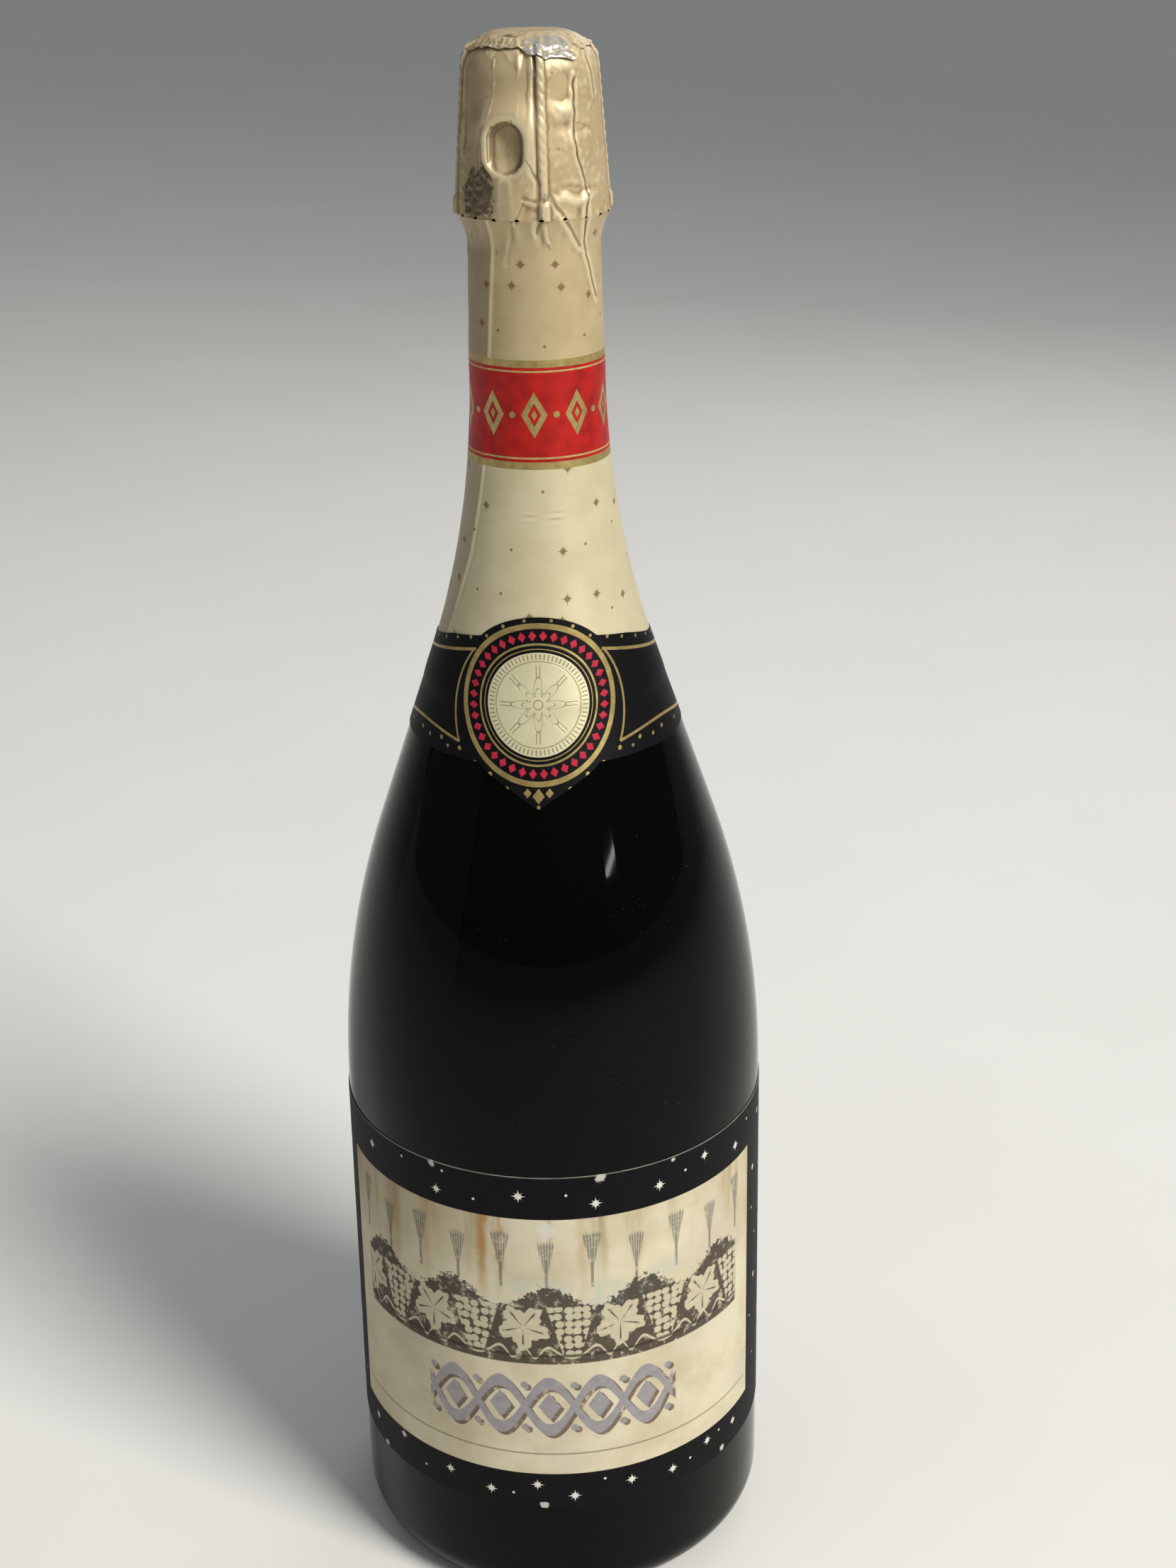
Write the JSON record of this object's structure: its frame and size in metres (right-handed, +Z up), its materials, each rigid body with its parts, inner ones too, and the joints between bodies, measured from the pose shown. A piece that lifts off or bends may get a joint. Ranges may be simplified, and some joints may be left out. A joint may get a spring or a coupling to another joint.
{
  "type": "sparkling wine bottle",
  "caption": "Dark glass magnum bottle of sparkling wine with punt, corked mouth, wire cage with folding key, tear-off foil hood, foiled neck, collar label and wide body label",
  "frame": {"origin": "on the surface that the bottle stands on, at the bottle's axis", "axes": "+Z up along the bottle's axis; the labels face -Y; +X to the right seen from the front"},
  "size_m": [0.1108, 0.1106, 0.3964],
  "materials": {
    "glass": "gloss",
    "wine": "gloss",
    "cork": "matte",
    "cork_natural": "matte",
    "cap_metal": "gloss",
    "wire": "satin",
    "foil": "satin",
    "label_black": "matte",
    "label_cream": "matte"
  },
  "bodies": {
    "bottle": {"glass_bottle": "glass", "wine": "wine", "neck_foil": "foil", "collar_label": "label_black", "body_label": "label_cream"},
    "cork": {"cork_body": "cork", "cork_disc_upper": "cork_natural", "cork_disc_lower": "cork_natural"},
    "muselet": {"muselet_cage": "wire", "muselet_belt": "wire", "muselet_plaque": "cap_metal"},
    "key": {"muselet_key": "wire"},
    "hood": {"foil_hood": "foil", "foil_top_disc": "foil"}
  },
  "joints": [
    {"name": "cork_pull", "type": "slide", "parent": "bottle", "child": "cork", "axis": [0, 0, 1], "range_m": [0, 0.06], "deforming": ["muselet_belt"]},
    {"name": "muselet_lift", "type": "slide", "parent": "cork", "child": "muselet", "axis": [0, 0, 1], "range_m": [0, 0.05], "deforming": ["muselet_belt"]},
    {"name": "key_fold", "type": "hinge", "parent": "muselet", "child": "key", "pos_m": [-0.00495, -0.0159, 0.35896], "axis": [0.9548, -0.2974, 0], "range_deg": [0, 100], "deforming": ["foil_hood"]},
    {"name": "hood_lift", "type": "slide", "parent": "muselet", "child": "hood", "axis": [0, 0, 1], "range_m": [0, 0.06]}
  ]
}
